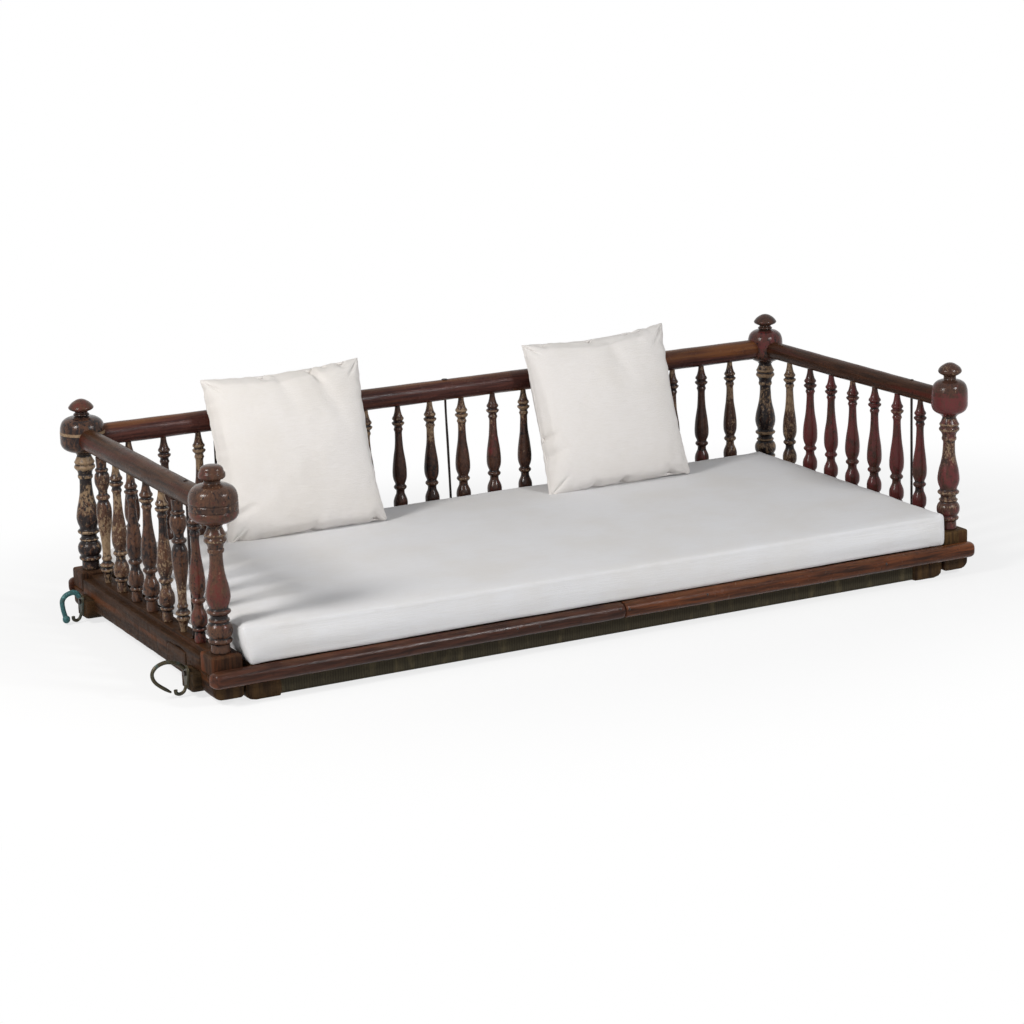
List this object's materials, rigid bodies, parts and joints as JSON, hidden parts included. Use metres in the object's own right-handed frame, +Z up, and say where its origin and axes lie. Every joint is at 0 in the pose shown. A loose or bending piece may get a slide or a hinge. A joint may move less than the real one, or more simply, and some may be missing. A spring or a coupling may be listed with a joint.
{
  "type": "jhoola swing daybed",
  "caption": "Low hanging daybed with a turned balustrade on three sides, forged chain hooks, a woven seat, a cotton mattress and scatter pillows.",
  "frame": {"origin": "middle of the footprint, on the plane of the ground that the taken-down bench stands on", "axes": "+X along the bench to its right end, -Y towards the open front where a person sits, +Z up"},
  "size_m": [2.2836, 0.99, 0.5779],
  "materials": {
    "turned_wood": "dark lacquer worn down to the wood on the high parts",
    "frame_wood": "weathered, oiled by hands, with cracks",
    "moulding_wood": "polished red-brown",
    "woven_tape": "ribbed khaki tape",
    "mattress_cotton": "plain cream cotton",
    "pillow_cotton": "plain cream slub cotton",
    "dark_iron": "forged, dark and rusted",
    "green_bronze": "forged, with green verdigris"
  },
  "bodies": {
    "frame": {"back_sill": "frame_wood", "balusters_back": "turned_wood", "balusters_left": "turned_wood", "balusters_right": "turned_wood", "beam_patch": "frame_wood", "bearer_back": "frame_wood", "bearer_front": "frame_wood", "end_beam_left": "frame_wood", "end_beam_right": "frame_wood", "hook_pins": "dark_iron", "long_rail_back": "frame_wood", "long_rail_front": "frame_wood", "moulding_back": "moulding_wood", "moulding_front_left": "moulding_wood", "moulding_front_right": "moulding_wood", "post_back_left": "turned_wood", "post_back_right": "turned_wood", "post_front_left": "turned_wood", "post_front_right": "turned_wood", "tie_rod_back_left": "dark_iron", "tie_rod_back_middle": "dark_iron", "tie_rod_back_right": "dark_iron", "tie_rod_left": "dark_iron", "tie_rod_right": "dark_iron", "top_rail_back": "turned_wood", "top_rail_left": "turned_wood", "top_rail_right": "turned_wood", "woven_seat": "woven_tape"},
    "mattress": {"mattress": "mattress_cotton"},
    "pillow_left": {"pillow_left": "pillow_cotton"},
    "pillow_right": {"pillow_right": "pillow_cotton"},
    "hook_back_left": {"hook_back_left": "green_bronze"},
    "hook_back_right": {"hook_back_right": "green_bronze"},
    "hook_front_left": {"hook_front_left": "green_bronze"},
    "hook_front_right": {"hook_front_right": "green_bronze"}
  },
  "joints": [
    {"name": "mattress_slide_out", "type": "slide", "parent": "frame", "child": "mattress", "axis": [0, -0.9962, 0.0872], "range_m": [0, 0.9]},
    {"name": "pillow_left_lift", "type": "slide", "parent": "mattress", "child": "pillow_left", "axis": [0, 0, 1], "range_m": [0, 0.5]},
    {"name": "pillow_right_lift", "type": "slide", "parent": "mattress", "child": "pillow_right", "axis": [0, 0, 1], "range_m": [0, 0.5]},
    {"name": "hook_front_left_swing", "type": "hinge", "parent": "frame", "child": "hook_front_left", "pos_m": [-1.05755, -0.35, 0.054], "axis": [1, 0, 0], "range_deg": [-90, 90]},
    {"name": "hook_back_left_swing", "type": "hinge", "parent": "frame", "child": "hook_back_left", "pos_m": [-1.05755, 0.35, 0.054], "axis": [1, 0, 0], "range_deg": [-90, 90]},
    {"name": "hook_front_right_swing", "type": "hinge", "parent": "frame", "child": "hook_front_right", "pos_m": [1.05755, -0.35, 0.054], "axis": [1, 0, 0], "range_deg": [-90, 90]},
    {"name": "hook_back_right_swing", "type": "hinge", "parent": "frame", "child": "hook_back_right", "pos_m": [1.05755, 0.35, 0.054], "axis": [1, 0, 0], "range_deg": [-90, 90]}
  ]
}
